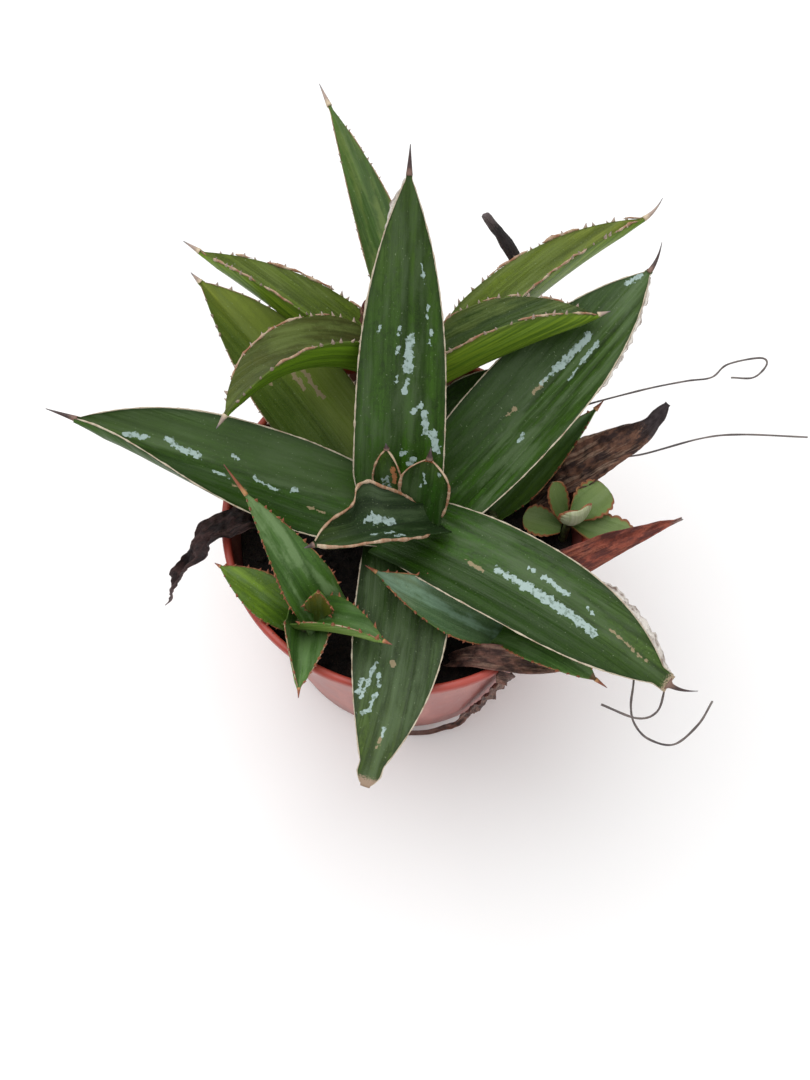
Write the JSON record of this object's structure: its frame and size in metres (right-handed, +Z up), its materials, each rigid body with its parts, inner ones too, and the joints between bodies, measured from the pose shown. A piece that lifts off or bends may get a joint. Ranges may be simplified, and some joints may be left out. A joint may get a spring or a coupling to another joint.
{
  "type": "potted agave",
  "caption": "Clump of dark green agave rosettes with pale horny margins, dead leaves and dried fibres, in a round terracotta-red plastic pot.",
  "frame": {"origin": "centre of the pot's flat base, on the surface it stands on", "axes": "+Z up out of the pot, -Y towards the viewer, +X to the viewer's right"},
  "size_m": [0.2389, 0.2207, 0.1864],
  "materials": {
    "pot_plastic": "satin",
    "soil": "matte",
    "leaf": "satin",
    "offset_leaf": "satin",
    "stem": "matte",
    "plantlet": "satin",
    "dead_leaf": "matte",
    "dried_fibre": "matte"
  },
  "bodies": {
    "root": {"dead_leaf_east": "dead_leaf", "dead_leaf_front": "dead_leaf", "dead_leaf_hanging": "dead_leaf", "dead_leaf_red": "dead_leaf", "dead_leaf_west": "dead_leaf", "dried_bud": "dead_leaf", "dried_stalk": "dead_leaf", "east_small_leaf": "offset_leaf", "east_stem": "stem", "erect_centre_leaf": "leaf", "fibre_at_tip": "dried_fibre", "fibre_below_tip": "dried_fibre", "fibre_long": "dried_fibre", "fibre_looped": "dried_fibre", "folded_centre_leaf": "leaf", "inner_centre_leaf": "leaf", "main_stem": "stem", "north_leaf": "leaf", "northeast_leaf": "leaf", "northwest_leaf": "leaf", "plantlet_leaf_1": "plantlet", "plantlet_leaf_2": "plantlet", "plantlet_leaf_3": "plantlet", "plantlet_leaf_4": "plantlet", "plantlet_leaf_5": "plantlet", "plantlet_stem": "plantlet", "pot": "pot_plastic", "potting_soil": "soil", "rear_arching_leaf": "offset_leaf", "rear_east_leaf": "offset_leaf", "rear_low_leaf": "offset_leaf", "rear_narrow_leaf": "offset_leaf", "rear_southeast_leaf": "offset_leaf", "rear_stem": "stem", "rear_west_leaf": "offset_leaf", "south_leaf": "leaf", "southeast_leaf": "leaf", "southeast_offset_leaf_1": "offset_leaf", "southeast_offset_leaf_2": "offset_leaf", "southeast_offset_leaf_3": "offset_leaf", "southeast_stem": "stem", "southwest_offset_leaf_1": "offset_leaf", "southwest_offset_leaf_2": "offset_leaf", "southwest_offset_leaf_3": "offset_leaf", "southwest_offset_leaf_4": "offset_leaf", "southwest_offset_leaf_5": "offset_leaf", "southwest_offset_leaf_6": "offset_leaf", "southwest_stem": "stem", "west_leaf": "leaf"}
  },
  "joints": []
}
